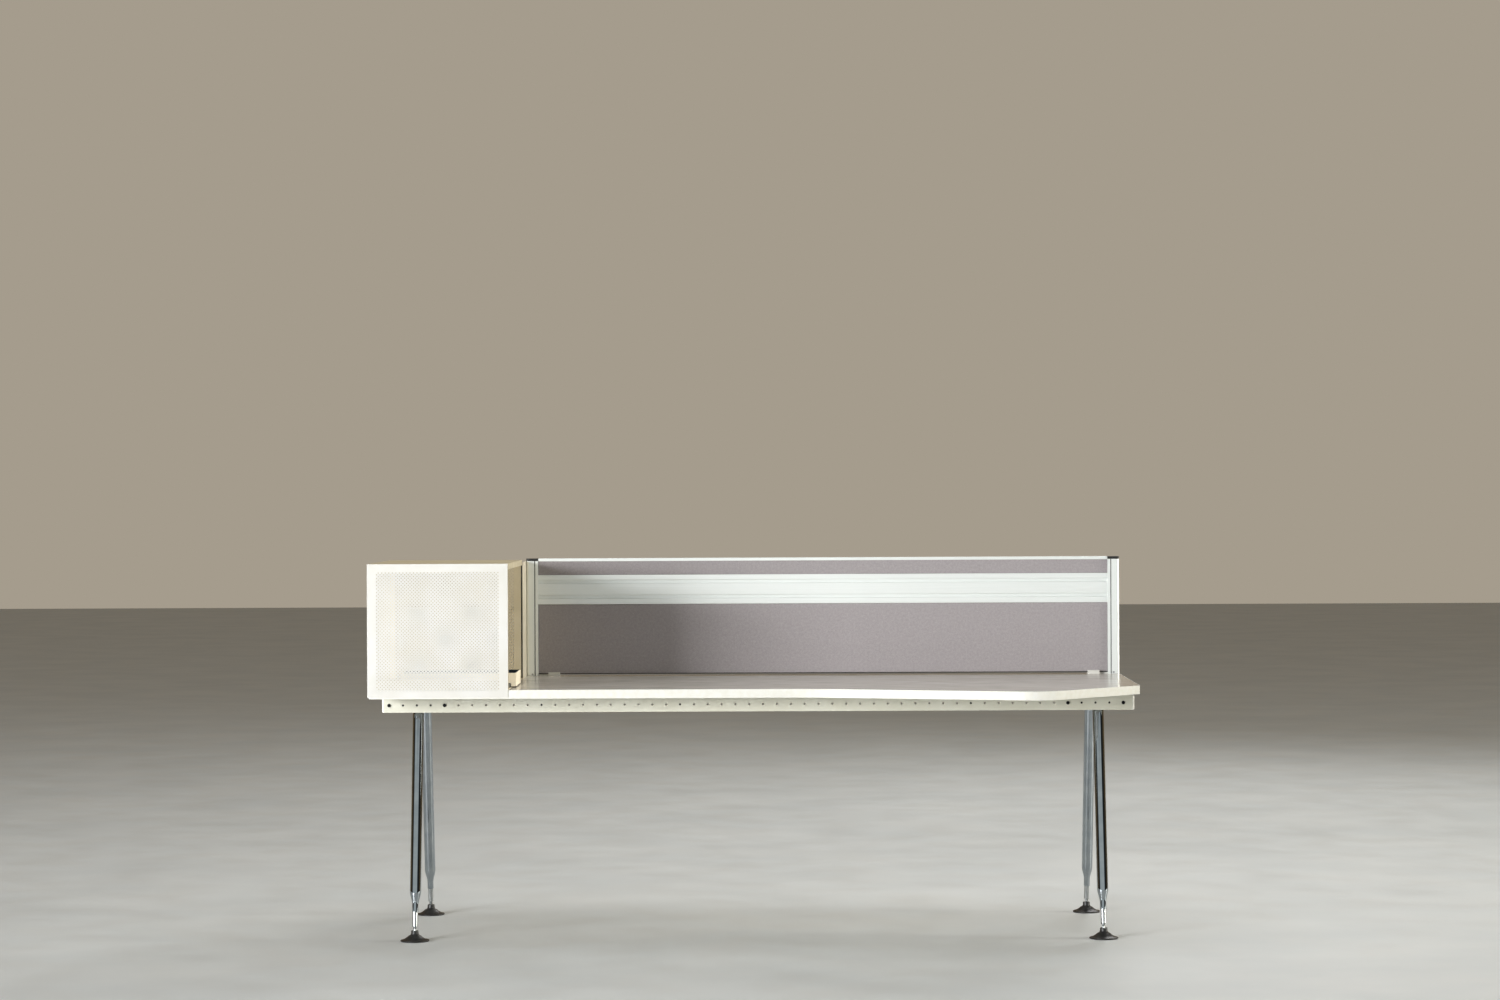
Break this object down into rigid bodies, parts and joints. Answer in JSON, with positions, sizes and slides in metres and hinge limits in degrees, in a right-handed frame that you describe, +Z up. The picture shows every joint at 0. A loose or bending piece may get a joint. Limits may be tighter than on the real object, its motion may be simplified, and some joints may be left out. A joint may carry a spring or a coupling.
{
  "type": "study desk with screen and storage box",
  "caption": "Shaped worktop on splayed tubular legs with perforated beams, an open-sided perforated storage box, a sliding tray and a fabric screen with a tool rail.",
  "frame": {"origin": "on the floor, at the centre of the outline seen from above", "axes": "+X to the sitter's right along the length, +Y away from the sitter, +Z up"},
  "size_m": [2.222, 0.9879, 1.08],
  "materials": {
    "worktop_laminate": "satin high pressure laminate, warm light grey",
    "edge_band": "white plastic edge band",
    "box_paint": "off-white powder coat",
    "cream_paint": "cream powder coat",
    "lining_rubber": "dark blue-green moulded rubber",
    "black_plastic": "black moulded plastic",
    "anodised": "satin anodised extrusion",
    "beam_paint": "cream-white powder coat",
    "screen_fabric": "mauve-grey plain woven wool mix",
    "core_board": "particle board",
    "leg_chrome": "polished chrome plate",
    "steel": "satin turned steel",
    "dark_steel": "blackened steel",
    "casting": "silver painted die casting"
  },
  "bodies": {
    "desk": {"worktop_board": "worktop_laminate", "worktop_edge_band": "edge_band", "worktop_screws": "steel", "box_front_panel": "box_paint", "box_back_panel": "box_paint", "box_top_panel": "box_paint", "box_side_panel": "box_paint", "box_floor_panel": "box_paint", "box_front_frame": "box_paint", "box_screws": "steel", "box_edge_trim": "black_plastic", "filler_plate": "cream_paint", "tray_runners": "steel", "screen_post_left": "anodised", "screen_post_right": "anodised", "post_cap_left": "black_plastic", "post_cap_right": "black_plastic", "post_screws": "steel", "screen_top_rail": "anodised", "screen_tool_rail": "anodised", "screen_foot_seal": "black_plastic", "screen_upper_pad": "screen_fabric", "screen_lower_pad": "screen_fabric", "screen_rear_pad": "screen_fabric", "screen_core_board": "core_board", "screen_clamp_left": "box_paint", "screen_clamp_right": "box_paint", "front_beam": "beam_paint", "rear_beam": "beam_paint", "crossbar_left": "beam_paint", "crossbar_right": "beam_paint", "stretcher_1": "beam_paint", "stretcher_2": "beam_paint", "stretcher_3": "beam_paint", "frame_bolts": "dark_steel", "beam_cap_front_left": "edge_band", "leg_head_front_left": "casting", "leg_tube_front_left": "leg_chrome", "beam_cap_front_right": "edge_band", "leg_head_front_right": "casting", "leg_tube_front_right": "leg_chrome", "beam_cap_rear_left": "edge_band", "leg_head_rear_left": "casting", "leg_tube_rear_left": "leg_chrome", "beam_cap_rear_right": "edge_band", "leg_head_rear_right": "casting", "leg_tube_rear_right": "leg_chrome"},
    "tray": {"tray_body": "cream_paint", "tray_liner": "lining_rubber", "tray_glides": "black_plastic"},
    "clamp_screw_left": {"clamp_screw_left": "dark_steel"},
    "clamp_screw_right": {"clamp_screw_right": "dark_steel"},
    "leg_rod_front_left": {"leg_rod_front_left": "steel"},
    "foot_front_left": {"foot_pad_front_left": "black_plastic"},
    "leg_rod_front_right": {"leg_rod_front_right": "steel"},
    "foot_front_right": {"foot_pad_front_right": "black_plastic"},
    "leg_rod_rear_left": {"leg_rod_rear_left": "steel"},
    "foot_rear_left": {"foot_pad_rear_left": "black_plastic"},
    "leg_rod_rear_right": {"leg_rod_rear_right": "steel"},
    "foot_rear_right": {"foot_pad_rear_right": "black_plastic"}
  },
  "joints": [
    {"name": "tray_slide", "type": "slide", "parent": "desk", "child": "tray", "axis": [1, 0, 0], "range_m": [-0.015, 0.26]},
    {"name": "clamp_screw_left_travel", "type": "slide", "parent": "desk", "child": "clamp_screw_left", "axis": [0, 0, -1], "range_m": [0, 0.012]},
    {"name": "clamp_screw_right_travel", "type": "slide", "parent": "desk", "child": "clamp_screw_right", "axis": [0, 0, -1], "range_m": [0, 0.012]},
    {"name": "leg_height_front_left", "type": "slide", "parent": "desk", "child": "leg_rod_front_left", "axis": [0, -0.2096, -0.9778], "range_m": [-0.035, 0.1]},
    {"name": "foot_tilt_front_left", "type": "hinge", "parent": "leg_rod_front_left", "child": "foot_front_left", "pos_m": [-0.9845, -0.25442, 0.02], "axis": [1, 0, 0], "range_deg": [-27.1, 2.9]},
    {"name": "leg_height_front_right", "type": "slide", "parent": "desk", "child": "leg_rod_front_right", "axis": [0, -0.2096, -0.9778], "range_m": [-0.035, 0.1]},
    {"name": "foot_tilt_front_right", "type": "hinge", "parent": "leg_rod_front_right", "child": "foot_front_right", "pos_m": [0.9845, -0.25442, 0.02], "axis": [1, 0, 0], "range_deg": [-27.1, 2.9]},
    {"name": "leg_height_rear_left", "type": "slide", "parent": "desk", "child": "leg_rod_rear_left", "axis": [0, 0.2096, -0.9778], "range_m": [-0.035, 0.1]},
    {"name": "foot_tilt_rear_left", "type": "hinge", "parent": "leg_rod_rear_left", "child": "foot_rear_left", "pos_m": [-0.9965, 0.36542, 0.02], "axis": [1, 0, 0], "range_deg": [-2.9, 27.1]},
    {"name": "leg_height_rear_right", "type": "slide", "parent": "desk", "child": "leg_rod_rear_right", "axis": [0, 0.2096, -0.9778], "range_m": [-0.035, 0.1]},
    {"name": "foot_tilt_rear_right", "type": "hinge", "parent": "leg_rod_rear_right", "child": "foot_rear_right", "pos_m": [0.9965, 0.36542, 0.02], "axis": [1, 0, 0], "range_deg": [-2.9, 27.1]}
  ]
}
